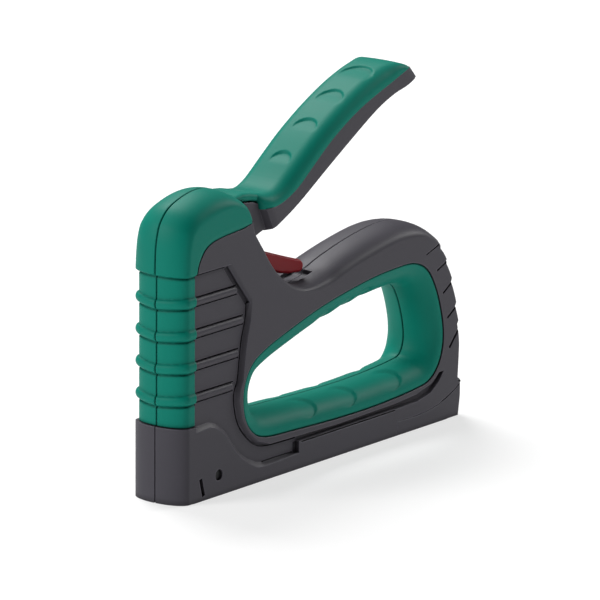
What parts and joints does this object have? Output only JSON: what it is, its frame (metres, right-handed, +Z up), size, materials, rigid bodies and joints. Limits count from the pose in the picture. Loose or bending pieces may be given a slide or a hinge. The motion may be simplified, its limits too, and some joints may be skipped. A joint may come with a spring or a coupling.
{
  "type": "staple gun",
  "caption": "Hand staple gun with a two-tone ribbed body, a closed hand loop, a raised squeeze handle and a red lock lever.",
  "frame": {"origin": "middle of the body's footprint on the work surface, on the plane where the two shells part", "axes": "+X from the nose towards the rear foot, +Z up towards the dome, Y across the two shells"},
  "size_m": [0.203, 0.0292, 0.1681],
  "materials": {
    "charcoal_plastic": "moulded, fine grain",
    "green_grip": "soft-touch overmould",
    "handle_green": "soft-touch overmould",
    "bright_steel": "zinc plated",
    "dark_steel": "hardened, oiled",
    "spring_steel": "drawn wire",
    "red_plastic": "moulded, glossy",
    "black_rubber": "plain"
  },
  "bodies": {
    "body": {"shell_right": "charcoal_plastic", "shell_left": "charcoal_plastic", "front_grip_right": "green_grip", "front_grip_left": "green_grip", "loop_grip_right": "green_grip", "loop_grip_left": "green_grip", "shell_screws": "bright_steel", "nose_plate": "bright_steel", "channel_pins": "dark_steel", "magazine_channel": "bright_steel", "power_spring": "spring_steel", "spring_seat": "bright_steel", "bumper": "black_rubber", "handle_pin": "bright_steel", "lock_pin": "bright_steel"},
    "handle": {"handle_core": "charcoal_plastic", "handle_grip": "handle_green", "handle_arm": "bright_steel", "arm_pins": "bright_steel", "return_spring": "spring_steel"},
    "plunger": {"plunger": "dark_steel", "driver_blade": "dark_steel"},
    "lock": {"lock_lever": "red_plastic"},
    "magazine": {"staple_rail": "bright_steel", "pusher_rod": "dark_steel", "pusher_spring": "spring_steel", "magazine_cap": "charcoal_plastic", "catch_spring": "spring_steel"},
    "pusher": {"pusher": "dark_steel"}
  },
  "joints": [
    {"name": "handle_hinge", "type": "hinge", "parent": "body", "child": "handle", "pos_m": [-0.0595, 0, 0.112], "axis": [0, 1, 0], "range_deg": [0, 24], "stiffness_Nm_per_rad": 0.5, "springref_deg": -40.11},
    {"name": "plunger_slide", "type": "slide", "parent": "body", "child": "plunger", "axis": [0, 0, 1], "range_m": [0, 0.01149], "deforming": ["power_spring"]},
    {"name": "lock_hinge", "type": "hinge", "parent": "body", "child": "lock", "pos_m": [-0.0455, 0, 0.0995], "axis": [0, -1, 0], "range_deg": [0, 7]},
    {"name": "magazine_slide", "type": "slide", "parent": "body", "child": "magazine", "axis": [1, 0, 0], "range_m": [0, 0.11]},
    {"name": "pusher_slide", "type": "slide", "parent": "magazine", "child": "pusher", "axis": [1, 0, 0], "range_m": [0, 0.1], "stiffness_N_per_m": 25, "springref_m": -0.04, "deforming": ["pusher_spring"]}
  ],
  "couplings": [
    {"joint": "plunger_slide", "follows": "handle_hinge", "m_per_rad": 0.0272}
  ]
}
